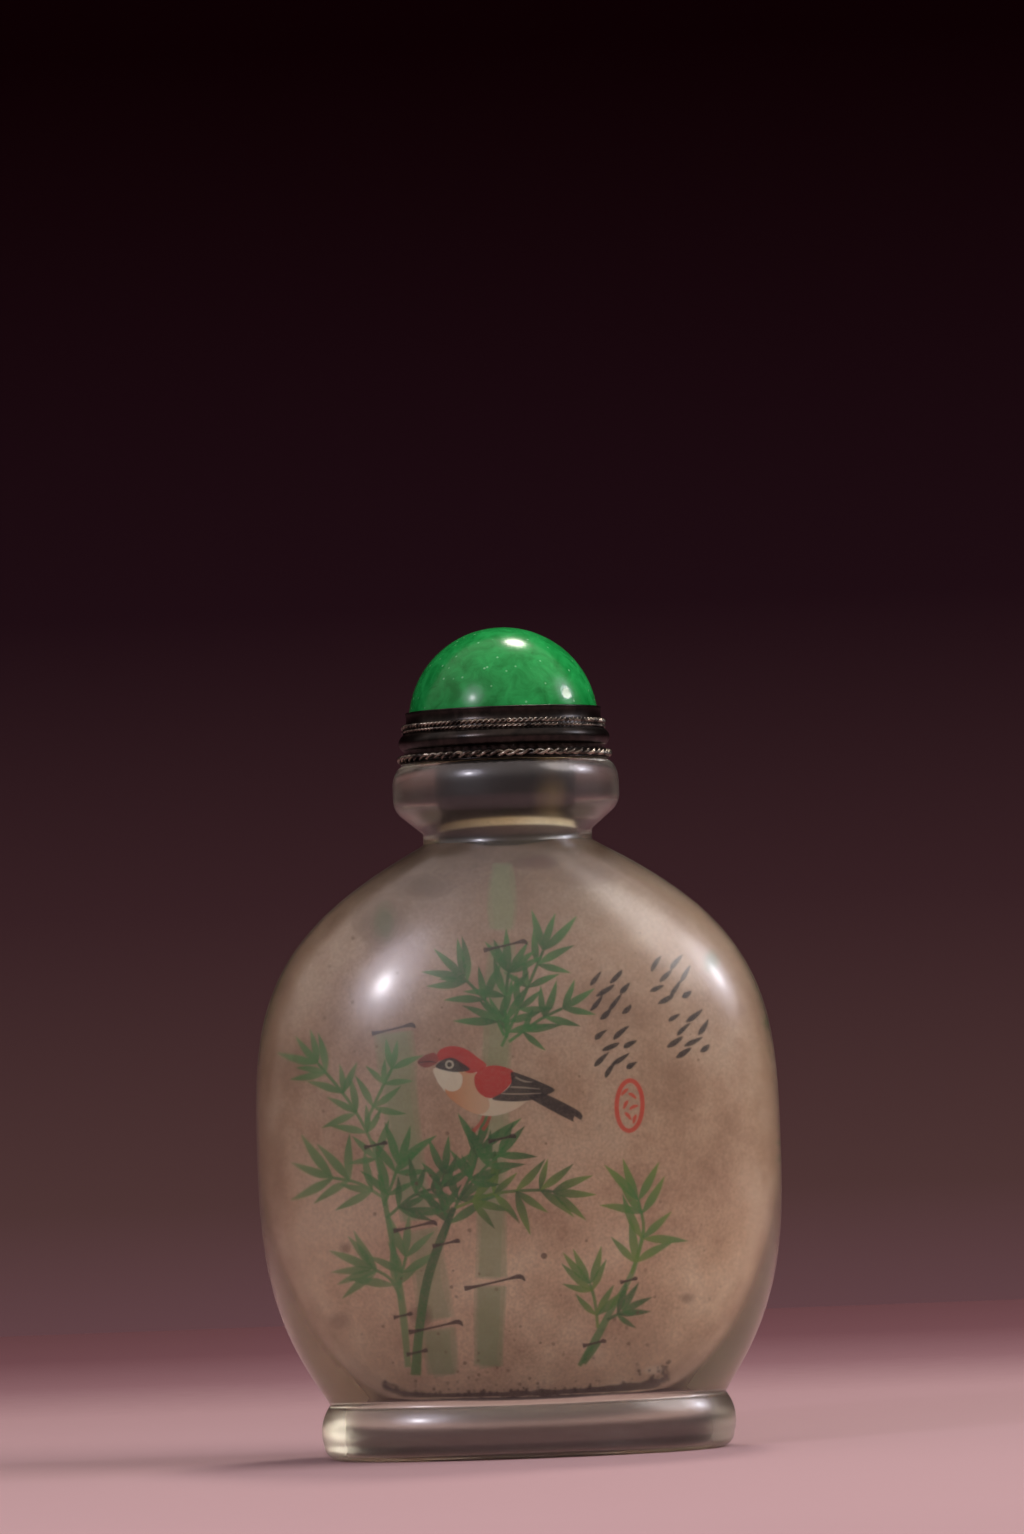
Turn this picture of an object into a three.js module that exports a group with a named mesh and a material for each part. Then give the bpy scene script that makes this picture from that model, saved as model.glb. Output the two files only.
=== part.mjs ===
// Flattened glass snuff bottle with a domed green stopper.
// Millimetres, +Z up. The origin is under the middle of the foot, on the surface that the
// bottle stands on. The painted front faces -Y, the width runs along X and the depth along Y.
import * as THREE from "three";

// Glass body, measured outside
const bodyWidth = 50.8;
const bodyDepth = 30;
const bodyHeight = 53.9;
const bellyHeight = 30;
const bodySquareness = 2.2;

// Curve of the outline below and above the belly, seen from the front
const underBelly = { fullness: 3.1, ease: 1.1 };
const shoulder = { startBelowBelly: 3, fullness: 3.9, ease: 1.05 };
// The same two curves seen from the side
const underBellySide = { fullness: 2.6, ease: 1.1 };
const shoulderSide = { startBelowBelly: 3, fullness: 2.7, ease: 1.0 };

// Foot: a rounded oval bead with a shallow hollow underneath
const footWidth = 40.2;
const footDepth = 23.8;
const footHeight = 5.3;
const footBulge = 0.9;
const footEdgeRadius = 1.4;
const footRimWidth = 3.4;
const footHollowDepth = 0.6;

// Neck and thick ring lip, both round
const neckRadius = 8.2;
const neckLength = 1.1;
const lipRadius = 11;
const lipHeight = 6.7;
const lipUnderRadius = 2.2;
const lipUnderAngle = 50;
const lipTopRound = { width: 1.3, height: 2.1 };

// Hollow inside the glass
const boreRadius = 4.5;
const wall = 3.0;
const sideWall = 4.1;
const shoulderWall = 1.0;
const baseThickness = 5.4;
const bowlFlatness = 3.2;
const bowlSteepness = 2.0;
const cavitySquareness = 2.1;

// Stopper: cork plug, metal collar and green dome
const corkClearance = 0.1;
const corkLength = 4.1;
const corkTaper = 0.15;
const domeRadius = 9.2;
const domeBelowRim = 1.15;
const settingGap = 0.08;
const seatGap = 0.05;
const collarHeight = 5.05;
const collarWall = 0.5;
const rimWall = 0.25;
const rimHeight = 1.15;
const plateThickness = 0.7;
const plateEdge = 0.1;
const plateLedge = 0.35;
const lowerWireRadius = 0.38;
const upperWireRadius = 0.27;
const swellDepth = 0.5;
const swellGap = 0.5;

// Facets around each piece
const bottleFacets = 44;
const collarFacets = 40;
const domeFacets = 36;
const corkFacets = 24;

// Heights that follow from the sizes above
const bodyTop = footHeight + bodyHeight;
const neckTop = bodyTop + neckLength;
const lipTop = neckTop + lipHeight;
const cavityTop = bodyTop - shoulderWall;
const collarBottom = lipTop + seatGap;
const collarTop = collarBottom + collarHeight;
const plateTop = collarBottom + plateThickness;
const domeSeat = plateTop + settingGap;
const cupRadius = domeRadius + settingGap;
const collarRadius = cupRadius + collarWall;

const glass = new THREE.MeshStandardMaterial({ color: 0xb9b3a6, roughness: 0.15, metalness: 0 });
const greenStone = new THREE.MeshStandardMaterial({ color: 0x2f9a55, roughness: 0.25, metalness: 0 });
const darkSilver = new THREE.MeshStandardMaterial({ color: 0x4a3c34, roughness: 0.45, metalness: 1 });
const corkBark = new THREE.MeshStandardMaterial({ color: 0x6b4a30, roughness: 0.9, metalness: 0 });

const mix = (a, b, share) => a + (b - a) * share;

// Share of the swell left at a height, 1 at the start of the curve and 0 at its end.
function swellShare(height, start, end, curve) {
  const run = Math.min(Math.max((height - start) / (end - start), 0), 1);
  return Math.pow(1 - Math.pow(run, curve.fullness), curve.ease);
}

// Half the outer size of the body at a height, in one direction.
function bodyHalf(height, halfFoot, halfBelly, under, over) {
  const low = mix(halfFoot, halfBelly, swellShare(height, bellyHeight, footHeight, under));
  const shoulderStart = bellyHeight - over.startBelowBelly;
  const high = mix(neckRadius, halfBelly, swellShare(height, shoulderStart, bodyTop, over));
  return Math.min(low, high);
}

// Half the inner size of the hollow at a height, a bowl below and a shoulder above.
function hollowHalf(height, halfBelly, over) {
  const drop = Math.min(Math.max((bellyHeight - height) / (bellyHeight - baseThickness), 0), 1);
  const bowl = halfBelly * Math.pow(1 - Math.pow(drop, bowlSteepness), 1 / bowlFlatness);
  const shoulderStart = bellyHeight - over.startBelowBelly;
  const high = mix(boreRadius, halfBelly, swellShare(height, shoulderStart, cavityTop, over));
  return Math.min(bowl, high);
}

// One level ring of the bottle: half width, half depth, height and squareness of its oval.
function ring(halfWidth, halfDepth, height, squareness) {
  return { halfWidth, halfDepth, height, squareness };
}

function bodyRing(height) {
  const waist = 2 * footBulge;
  const halfWidth = bodyHalf(height, (footWidth - waist) / 2, bodyWidth / 2, underBelly, shoulder);
  const halfDepth = bodyHalf(height, (footDepth - waist) / 2, bodyDepth / 2, underBellySide, shoulderSide);
  const roundness = (halfWidth - neckRadius) / (bodyWidth / 2 - neckRadius);
  return ring(halfWidth, halfDepth, height, mix(2, bodySquareness, roundness));
}

function hollowRing(height) {
  const halfWidth = hollowHalf(height, bodyWidth / 2 - sideWall, shoulder);
  const halfDepth = hollowHalf(height, bodyDepth / 2 - wall, shoulderSide);
  const roundness = (halfWidth - boreRadius) / (bodyWidth / 2 - sideWall - boreRadius);
  return ring(halfWidth, halfDepth, height, mix(2, cavitySquareness, Math.max(roundness, 0)));
}

// Heights between two levels, closer together at the ends where the curve turns.
function heights(from, to, count, crowdStart, crowdEnd) {
  const list = [];
  for (let i = 0; i <= count; i += 1) {
    const run = i / count;
    const eased = (1 - Math.cos(Math.PI * run)) / 2;
    const weight = mix(crowdStart, crowdEnd, run);
    list.push(mix(from, to, mix(run, eased, weight)));
  }
  return list;
}

// Underside: a shallow oval dish inside the rim that the bottle stands on.
function undersideRings() {
  const inset = footBulge + footRimWidth;
  const rings = [ring(0, 0, footHollowDepth, bodySquareness)];
  for (let i = 1; i <= 4; i += 1) {
    const turn = (Math.PI / 2) * (i / 4);
    const halfWidth = (footWidth / 2 - inset) * Math.sin(turn);
    const halfDepth = (footDepth / 2 - inset) * Math.sin(turn);
    rings.push(ring(halfWidth, halfDepth, footHollowDepth * Math.pow(Math.cos(turn), 2), bodySquareness));
  }
  return rings;
}

// Rounded bead of the foot, from the standing rim to the waist above it.
function footRings() {
  const rings = [];
  const middle = footHeight / 2;
  const drawnIn = (height) => footBulge * Math.pow((height - middle) / middle, 2);
  const edge = drawnIn(footEdgeRadius);
  for (let i = 0; i <= 2; i += 1) {
    const turn = (Math.PI / 2) * (i / 3);
    const inset = edge + footEdgeRadius * (1 - Math.sin(turn));
    const height = footEdgeRadius * (1 - Math.cos(turn));
    rings.push(ring(footWidth / 2 - inset, footDepth / 2 - inset, height, bodySquareness));
  }
  for (const height of heights(footEdgeRadius, footHeight, 7, 0, 0).slice(0, -1)) {
    const inset = drawnIn(height);
    rings.push(ring(footWidth / 2 - inset, footDepth / 2 - inset, height, bodySquareness));
  }
  return rings;
}

function bodyRings() {
  const below = heights(footHeight, bellyHeight, 9, 0, 0).map(bodyRing);
  const above = heights(bellyHeight, bodyTop, 15, 0, 1).slice(1).map(bodyRing);
  return [...below, ...above];
}

// Outline of the ring lip: a straight flare from the neck, then two round edges.
function lipRings() {
  const rings = [ring(neckRadius, neckRadius, neckTop, 2)];
  const start = THREE.MathUtils.degToRad(-lipUnderAngle);
  const flareRadius = lipRadius - lipUnderRadius * (1 - Math.cos(start));
  const flareHeight = (flareRadius - neckRadius) / Math.tan(-start);
  const underMiddle = neckTop + flareHeight + lipUnderRadius * Math.sin(-start);
  for (let i = 0; i <= 4; i += 1) {
    const turn = mix(start, 0, i / 4);
    const radius = lipRadius - lipUnderRadius * (1 - Math.cos(turn));
    rings.push(ring(radius, radius, underMiddle + lipUnderRadius * Math.sin(turn), 2));
  }
  for (let i = 0; i <= 4; i += 1) {
    const turn = (Math.PI / 2) * (i / 4);
    const radius = lipRadius - lipTopRound.width * (1 - Math.cos(turn));
    rings.push(ring(radius, radius, lipTop - lipTopRound.height * (1 - Math.sin(turn)), 2));
  }
  return rings;
}

function hollowRings() {
  const mouth = ring(boreRadius, boreRadius, lipTop, 2);
  const over = heights(cavityTop, bellyHeight, 12, 1, 0).map(hollowRing);
  const bowl = heights(bellyHeight, baseThickness, 10, 0, 1).slice(1, -1).map(hollowRing);
  return [mouth, ...over, ...bowl, ring(0, 0, baseThickness, cavitySquareness)];
}

// Point of a ring's oval at an angle around it.
function ovalPoint(level, angle) {
  const power = 2 / level.squareness;
  const across = Math.cos(angle);
  const along = Math.sin(angle);
  const x = level.halfWidth * Math.sign(across) * Math.pow(Math.abs(across), power);
  const y = level.halfDepth * Math.sign(along) * Math.pow(Math.abs(along), power);
  return [x, y, level.height];
}

// Closed skin over rings in order. The first and last ring are single points on the axis.
function skinOverRings(rings, facets) {
  const positions = [];
  const corners = [];
  const inner = rings.slice(1, -1);
  for (const level of inner) {
    for (let i = 0; i < facets; i += 1) {
      positions.push(...ovalPoint(level, (2 * Math.PI * i) / facets));
    }
  }
  const first = inner.length * facets;
  const last = first + 1;
  positions.push(0, 0, rings[0].height);
  positions.push(0, 0, rings[rings.length - 1].height);
  for (let i = 0; i < facets; i += 1) {
    const next = (i + 1) % facets;
    corners.push(first, next, i);
    for (let row = 0; row < inner.length - 1; row += 1) {
      const low = row * facets;
      const high = low + facets;
      corners.push(low + i, low + next, high + next);
      corners.push(low + i, high + next, high + i);
    }
    const top = (inner.length - 1) * facets;
    corners.push(last, top + i, top + next);
  }
  const geometry = new THREE.BufferGeometry();
  geometry.setAttribute("position", new THREE.Float32BufferAttribute(positions, 3));
  geometry.setIndex(corners);
  geometry.computeVertexNormals();
  return geometry;
}

// Turned piece from [radius, height] points that start and end on the axis.
function turned(outline, facets) {
  const points = outline.map(([radius, height]) => new THREE.Vector2(radius, height));
  const geometry = new THREE.LatheGeometry(points, facets);
  geometry.rotateX(Math.PI / 2);
  return geometry;
}

// Half-round bead on the outline, such as a wire soldered around the collar.
function bead(radius, middle, halfHeight, depth, steps) {
  const points = [];
  for (let i = 0; i <= steps; i += 1) {
    const turn = -Math.PI / 2 + (Math.PI * i) / steps;
    points.push([radius + depth * Math.cos(turn), middle + halfHeight * Math.sin(turn)]);
  }
  return points;
}

function glassBottle() {
  const rings = [...undersideRings(), ...footRings(), ...bodyRings(), ...lipRings(), ...hollowRings()];
  return skinOverRings(rings, bottleFacets);
}

// Metal cup: base plate, a wire around its edge, a swelling band, a finer wire and the rim.
function collar() {
  const lowerWire = collarBottom + plateEdge + lowerWireRadius;
  const ledgeRadius = collarRadius + plateLedge;
  const rimBottom = collarTop - rimHeight;
  const upperWire = rimBottom - upperWireRadius;
  const swellBottom = lowerWire + lowerWireRadius + swellGap;
  const swellTop = upperWire - upperWireRadius - swellGap;
  const swellMiddle = (swellBottom + swellTop) / 2;
  const swellHalf = (swellTop - swellBottom) / 2;
  return turned([
    [0, collarBottom],
    [ledgeRadius, collarBottom],
    ...bead(ledgeRadius, lowerWire, lowerWireRadius, lowerWireRadius, 4),
    [collarRadius, lowerWire + lowerWireRadius],
    ...bead(collarRadius, swellMiddle, swellHalf, swellDepth, 5),
    ...bead(collarRadius, upperWire, upperWireRadius, upperWireRadius, 3),
    [cupRadius + rimWall, rimBottom],
    [cupRadius + rimWall, collarTop],
    [cupRadius, collarTop],
    [cupRadius, plateTop],
    [0, plateTop],
  ], collarFacets);
}

// Green dome: a flat-based round plug under a half ball, set in the cup.
function cabochon() {
  const domeMiddle = collarTop - domeBelowRim;
  const outline = [[0, domeSeat], [domeRadius, domeSeat]];
  for (let i = 0; i <= 9; i += 1) {
    const turn = (Math.PI / 2) * (i / 9);
    outline.push([domeRadius * Math.cos(turn), domeMiddle + domeRadius * Math.sin(turn)]);
  }
  outline[outline.length - 1][0] = 0;
  return turned(outline, domeFacets);
}

// Cork plug under the plate, a loose fit in the bore and slightly tapered.
function cork() {
  const corkRadius = boreRadius - corkClearance;
  const corkBottom = lipTop - corkLength;
  return turned([
    [0, corkBottom],
    [corkRadius - corkTaper, corkBottom],
    [corkRadius, lipTop],
    [0, lipTop],
  ], corkFacets);
}

function piece(name, geometry, material) {
  const mesh = new THREE.Mesh(geometry, material);
  mesh.name = name;
  return mesh;
}

const snuffBottle = new THREE.Group();
snuffBottle.add(piece("glass_bottle", glassBottle(), glass));
snuffBottle.add(piece("stopper_collar", collar(), darkSilver));
snuffBottle.add(piece("stopper_cabochon", cabochon(), greenStone));
snuffBottle.add(piece("stopper_cork", cork(), corkBark));

export default snuffBottle;
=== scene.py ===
import math
import random

import bpy
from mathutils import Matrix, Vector, geometry, noise


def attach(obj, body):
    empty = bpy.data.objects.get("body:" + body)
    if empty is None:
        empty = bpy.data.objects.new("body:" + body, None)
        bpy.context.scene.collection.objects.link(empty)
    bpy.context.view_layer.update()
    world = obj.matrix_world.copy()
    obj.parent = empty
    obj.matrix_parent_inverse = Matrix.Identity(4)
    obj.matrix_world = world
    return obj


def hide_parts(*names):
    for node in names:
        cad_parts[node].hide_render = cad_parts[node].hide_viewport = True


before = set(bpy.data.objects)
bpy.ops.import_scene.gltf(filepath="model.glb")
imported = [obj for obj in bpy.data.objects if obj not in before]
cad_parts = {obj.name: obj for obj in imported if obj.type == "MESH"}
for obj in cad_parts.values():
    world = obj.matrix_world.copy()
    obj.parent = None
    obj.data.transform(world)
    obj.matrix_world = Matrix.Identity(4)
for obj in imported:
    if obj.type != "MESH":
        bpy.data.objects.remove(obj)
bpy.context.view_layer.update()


# Camera. It stands low in front of the bottle and looks slightly up at the lip, with a slight
# roll, so the bottle leans a little to the left in the picture.
MM = 0.001
CAMERA_DISTANCE = 700 * MM
FRAME_HEIGHT = 149.3 * MM
LOOK_AT = Vector((-0.35 * MM, 0, 66.55 * MM))
CAMERA_ROLL = math.radians(2.1)
CAMERA_UPWARD = math.radians(2.3)
SENSOR_HEIGHT = 24


def put_in_scene(name, data):
    made = bpy.data.objects.new(name, data)
    bpy.context.scene.collection.objects.link(made)
    return made


lens = bpy.data.cameras.new("camera")
lens.sensor_fit = "VERTICAL"
lens.sensor_height = SENSOR_HEIGHT
lens.lens = SENSOR_HEIGHT * CAMERA_DISTANCE / FRAME_HEIGHT
camera = put_in_scene("camera", lens)
camera.location = LOOK_AT - CAMERA_DISTANCE * Vector((0, math.cos(CAMERA_UPWARD), math.sin(CAMERA_UPWARD)))
camera.rotation_euler = (math.radians(90) + CAMERA_UPWARD, CAMERA_ROLL, 0)
bpy.context.scene.camera = camera


# The bottle: one piece of clear soda-lime glass, blown in a mould and polished outside, with
# the oval foot, the body and the thick ring lip all one with it. The inside was ground with
# wet grit to a satin, so that ink and colour hold on it. Sizes are in millimetres.
BODY_WIDTH = 50.8
BODY_DEPTH = 30.0
BELLY_HEIGHT = 30.0
SHOULDER_START = 27.0
NECK_BOTTOM = 59.2
NECK_TOP = 60.3
LIP_TOP = 67.0
NECK_RADIUS = 8.2
LIP_RADIUS = 11.0
LIP_UNDER_RADIUS = 2.2
LIP_UNDER_ANGLE = math.radians(50)
LIP_ROUND_WIDTH = 1.3
LIP_ROUND_HEIGHT = 2.1
FOOT_WIDTH = 40.2
FOOT_DEPTH = 23.8
FOOT_HEIGHT = 5.3
FOOT_BULGE = 0.9
FOOT_EDGE = 1.4
FOOT_RIM = 3.4
FOOT_HOLLOW = 0.6
BORE_RADIUS = 4.5
WALL = 3.0
SIDE_WALL = 4.1
CAVITY_TOP = 58.2
CAVITY_FLOOR = 5.4
BOWL_FLATNESS = 3.2
BOWL_STEEPNESS = 2.0
BODY_SQUARENESS = 2.2
CAVITY_SQUARENESS = 2.1
# How full the outline is below and above the belly, and how softly it comes to the neck
FRONT_CURVE = (3.1, 3.9, 1.05)
SIDE_CURVE = (2.6, 2.7, 1.0)
UNDER_EASE = 1.1
GLASS_FACETS = 160
GLASS_IOR = 1.52


def mix(a, b, share):
    return a + (b - a) * share


def swell_share(height, start, end, fullness, ease):
    run = min(max((height - start) / (end - start), 0.0), 1.0)
    return (1 - run ** fullness) ** ease


def body_half(height, half_foot, half_belly, under_fullness, over_fullness, over_ease):
    """Half the outer size of the glass at a height, seen from the front or from the side."""
    under = swell_share(height, BELLY_HEIGHT, FOOT_HEIGHT, under_fullness, UNDER_EASE)
    over = swell_share(height, SHOULDER_START, NECK_BOTTOM, over_fullness, over_ease)
    return min(mix(half_foot, half_belly, under), mix(NECK_RADIUS, half_belly, over))


def body_ring(height):
    half_width = body_half(height, FOOT_WIDTH / 2 - FOOT_BULGE, BODY_WIDTH / 2, *FRONT_CURVE)
    half_depth = body_half(height, FOOT_DEPTH / 2 - FOOT_BULGE, BODY_DEPTH / 2, *SIDE_CURVE)
    roundness = (half_width - NECK_RADIUS) / (BODY_WIDTH / 2 - NECK_RADIUS)
    return half_width, half_depth, height, mix(2, BODY_SQUARENESS, roundness)


def hollow_half(height, half_belly, over_fullness, over_ease):
    """Half the inner size: a bowl at the bottom, the wall in the middle and the shoulder above."""
    drop = min(max((BELLY_HEIGHT - height) / (BELLY_HEIGHT - CAVITY_FLOOR), 0.0), 1.0)
    bowl = half_belly * (1 - drop ** BOWL_STEEPNESS) ** (1 / BOWL_FLATNESS)
    over = swell_share(height, SHOULDER_START, CAVITY_TOP, over_fullness, over_ease)
    return min(bowl, mix(BORE_RADIUS, half_belly, over))


def hollow_ring(height):
    half_width = hollow_half(height, BODY_WIDTH / 2 - SIDE_WALL, *FRONT_CURVE[1:])
    half_depth = hollow_half(height, BODY_DEPTH / 2 - WALL, *SIDE_CURVE[1:])
    roundness = max((half_width - BORE_RADIUS) / (BODY_WIDTH / 2 - SIDE_WALL - BORE_RADIUS), 0)
    return half_width, half_depth, height, mix(2, CAVITY_SQUARENESS, roundness)


def spread(start, end, count, crowd_start, crowd_end):
    """Heights from start to end, closer together at the ends that the crowd values name."""
    levels = []
    for step in range(count + 1):
        run = step / count
        eased = (1 - math.cos(math.pi * run)) / 2
        levels.append(mix(start, end, mix(run, eased, mix(crowd_start, crowd_end, run))))
    return levels


def underside_rings():
    inset = FOOT_BULGE + FOOT_RIM
    half_width = FOOT_WIDTH / 2 - inset
    half_depth = FOOT_DEPTH / 2 - inset
    rings = [(0, 0, FOOT_HOLLOW, BODY_SQUARENESS)]
    for step in range(1, 9):
        turn = math.pi / 2 * step / 8
        rings.append((half_width * math.sin(turn), half_depth * math.sin(turn),
                      FOOT_HOLLOW * math.cos(turn) ** 2, BODY_SQUARENESS))
    return rings


def foot_rings():
    middle = FOOT_HEIGHT / 2
    rings = []
    edge = FOOT_BULGE * ((FOOT_EDGE - middle) / middle) ** 2
    for step in range(6):
        turn = math.pi / 2 * step / 6
        inset = edge + FOOT_EDGE * (1 - math.sin(turn))
        rings.append((FOOT_WIDTH / 2 - inset, FOOT_DEPTH / 2 - inset,
                      FOOT_EDGE * (1 - math.cos(turn)), BODY_SQUARENESS))
    for height in spread(FOOT_EDGE, FOOT_HEIGHT, 18, 0, 0)[:-1]:
        inset = FOOT_BULGE * ((height - middle) / middle) ** 2
        rings.append((FOOT_WIDTH / 2 - inset, FOOT_DEPTH / 2 - inset, height, BODY_SQUARENESS))
    return rings


def lip_rings():
    rings = [(NECK_RADIUS, NECK_RADIUS, NECK_TOP, 2)]
    flare_radius = LIP_RADIUS - LIP_UNDER_RADIUS * (1 - math.cos(LIP_UNDER_ANGLE))
    flare_height = (flare_radius - NECK_RADIUS) / math.tan(LIP_UNDER_ANGLE)
    middle = NECK_TOP + flare_height + LIP_UNDER_RADIUS * math.sin(LIP_UNDER_ANGLE)
    for step in range(13):
        turn = -LIP_UNDER_ANGLE * (1 - step / 12)
        radius = LIP_RADIUS - LIP_UNDER_RADIUS * (1 - math.cos(turn))
        rings.append((radius, radius, middle + LIP_UNDER_RADIUS * math.sin(turn), 2))
    for step in range(10):
        turn = math.pi / 2 * step / 9
        radius = LIP_RADIUS - LIP_ROUND_WIDTH * (1 - math.cos(turn))
        rings.append((radius, radius, LIP_TOP - LIP_ROUND_HEIGHT * (1 - math.sin(turn)), 2))
    return rings


def oval_point(level, angle):
    half_width, half_depth, height, squareness = level
    across, along = math.cos(angle), math.sin(angle)
    x = half_width * math.copysign(abs(across) ** (2 / squareness), across)
    y = half_depth * math.copysign(abs(along) ** (2 / squareness), along)
    return Vector((x, y, height)) * MM


def skin_over(rings, facets):
    """Points and faces of a closed skin over rings whose first and last are single points."""
    inner = rings[1:-1]
    points = [oval_point(level, 2 * math.pi * i / facets) for level in inner for i in range(facets)]
    first = len(points)
    points.append(Vector((0, 0, rings[0][2])) * MM)
    points.append(Vector((0, 0, rings[-1][2])) * MM)
    top = (len(inner) - 1) * facets
    faces = []
    for i in range(facets):
        after = (i + 1) % facets
        faces.append((first, after, i))
        faces.append((first + 1, top + i, top + after))
    for row in range(len(inner) - 1):
        low, high = row * facets, (row + 1) * facets
        for i in range(facets):
            after = (i + 1) % facets
            faces.append((low + i, low + after, high + after, high + i))
    return points, faces


def mesh_piece(name, points, faces, slot, *finishes):
    """A new piece of the object that rides on its one body, with its finishes. Its slot is not used."""
    mesh = bpy.data.meshes.new(name)
    mesh.from_pydata(points, [], faces)
    mesh.validate()
    mesh.polygons.foreach_set("use_smooth", [True] * len(mesh.polygons))
    for finish in finishes:
        mesh.materials.append(finish)
    made = put_in_scene(name, mesh)
    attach(made, "root")
    return made


def linear(hex_colour):
    """An sRGB colour written as six hex digits, as the linear colour that a shader takes."""
    colour = []
    for start in (0, 2, 4):
        value = int(hex_colour[start:start + 2], 16) / 255
        colour.append(value / 12.92 if value <= 0.04045 else ((value + 0.055) / 1.055) ** 2.4)
    return (*colour, 1.0)


def new_material(name):
    material = bpy.data.materials.new(name)
    material.use_nodes = True
    material.node_tree.nodes.clear()
    return material


# Sockets of a Mix node that is set to mix colours, where names alone don't tell them apart
MIX_A, MIX_B, MIX_RESULT = 6, 7, 2


def add_node(material, kind, inputs=None, stops=(), **settings):
    """Adds a node of a kind. An input takes a plain value, another node's output, or a node for
    its first output. A colour ramp takes stops: positions and sRGB hex colours, in rising order."""
    made = material.node_tree.nodes.new("ShaderNode" + kind)
    for name, value in settings.items():
        setattr(made, name, value)
    for name, value in (inputs or {}).items():
        if isinstance(value, bpy.types.Node):
            value = value.outputs[0]
        if isinstance(value, bpy.types.NodeSocket):
            material.node_tree.links.new(value, made.inputs[name])
        else:
            made.inputs[name].default_value = value
    if stops:
        elements = made.color_ramp.elements
        elements.remove(elements[1])
        elements[0].position = stops[0][0]
        for position, _ in stops[1:]:
            elements.new(position)
        for element, (_, hex_colour) in zip(elements, stops):
            element.color = linear(hex_colour)
    return made


# The painting: bamboo, a small bird and rows of ink strokes, put on the ground inside wall with a
# bent brush through the mouth. Places are in millimetres as the eye sees them through the glass,
# x to the right of the middle and z above the table.
def tint(hex_colour, cover):
    """A paint: its colour, and the share of the ground glass under it that it hides."""
    return (*linear(hex_colour)[:3], cover)


LEAF_GREEN = tint("3a8c44", 0.9)
DEEP_GREEN = tint("195c2a", 0.94)
PALE_GREEN = tint("5ea264", 0.75)
FRESH_GREEN = tint("649c30", 0.85)
STALK_WASH = "7fa37a"
NODE_INK = tint("20140e", 0.94)
BLACK_INK = tint("0c0a09", 0.98)
SEAL_RED = tint("e03a26", 0.9)
NO_PAINT = (0.3, 0.3, 0.3, 0.0)


def smooth_path(points, steps):
    """Points on a smooth curve through the given ones, each with any values after its place."""
    ends = [points[0], *points, points[-1]]
    path = []
    for i in range(1, len(ends) - 2):
        for step in range(steps):
            t = step / steps
            path.append(tuple(
                (2 * b + (c - a) * t + (2 * a - 5 * b + 4 * c - d) * t ** 2
                 + (3 * b - a - 3 * c + d) * t ** 3) / 2
                for a, b, c, d in zip(*ends[i - 1:i + 3])))
    path.append(tuple(points[-1]))
    return path


def brush_stroke(points, start_tint, end_tint=None, steps=4):
    """A stroke along a smooth path of (x, z, width), from one tint to another."""
    path = smooth_path(points, steps)
    left, right = [], []
    for i, (x, z, width) in enumerate(path):
        before, after = path[max(i - 1, 0)], path[min(i + 1, len(path) - 1)]
        run = Vector((after[0] - before[0], after[1] - before[1])).normalized()
        left.append((x - run.y * width / 2, z + run.x * width / 2))
        right.append((x + run.y * width / 2, z - run.x * width / 2))
    return left + right[::-1], path[0][:2], path[-1][:2], start_tint, end_tint or start_tint


def patch(points, start_tint, end_tint=None, steps=4):
    """A filled shape with a smooth closed outline, shaded from its first point to its middle one."""
    count = len(points)
    outline = smooth_path([points[i % count] for i in range(-1, count + 2)], steps)
    outline = outline[steps:steps * (count + 1)]
    return outline, points[0], points[count // 2], start_tint, end_tint or start_tint


def spot(x, z, radius, colour):
    """A small round touch of the brush."""
    ring = [(x + radius * math.cos(turn * math.pi / 4), z + radius * math.sin(turn * math.pi / 4))
            for turn in range(8)]
    return patch(ring, colour, steps=2)


def leaf(x, z, heading, length, bend, start_tint, end_tint):
    """One bamboo leaf pulled in a single stroke: narrow at its stalk, full, then a long point."""
    turn = math.radians(heading)
    points = []
    for run, width in ((0, 0.05), (0.14, 0.55), (0.38, 1.0), (0.7, 0.7), (1.0, 0.03)):
        along, aside = run * length, bend * length * run ** 2
        points.append((x + along * math.cos(turn) - aside * math.sin(turn),
                       z + along * math.sin(turn) + aside * math.cos(turn),
                       width * (0.22 + 0.14 * length)))
    return brush_stroke(points, start_tint, end_tint, 3)


def spray(path, length, light, dark, seed, spacing=2.1):
    """A twig with leaves fanned out to both sides at each joint, and three more at its tip."""
    pick = random.Random(seed)
    twig = smooth_path([(x, z, 0.28) for x, z in path], 6)
    strokes = [brush_stroke([(x, z, 0.3) for x, z in path], light, dark)]
    walked = spacing * 0.5
    side = pick.choice((-1, 1))
    for before, after in zip(twig, twig[1:]):
        walked += math.dist(before[:2], after[:2])
        heading = math.degrees(math.atan2(after[1] - before[1], after[0] - before[0]))
        if walked > spacing:
            walked = 0
            side = -side
            turns = (side * pick.uniform(22, 40), -side * pick.uniform(26, 56), side * pick.uniform(55, 85))
            for turn in turns:
                strokes.append(leaf(*after[:2], heading + turn, length * pick.uniform(0.75, 1.25),
                                    pick.uniform(-0.16, 0.16), *pick.choice(((light, dark), (dark, light)))))
    for turn in (-36, 4, 34):
        strokes.append(leaf(*twig[-1][:2], heading + turn + pick.uniform(-9, 9),
                            length * pick.uniform(0.95, 1.3), pick.uniform(-0.12, 0.12), dark, light))
    return strokes


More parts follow.
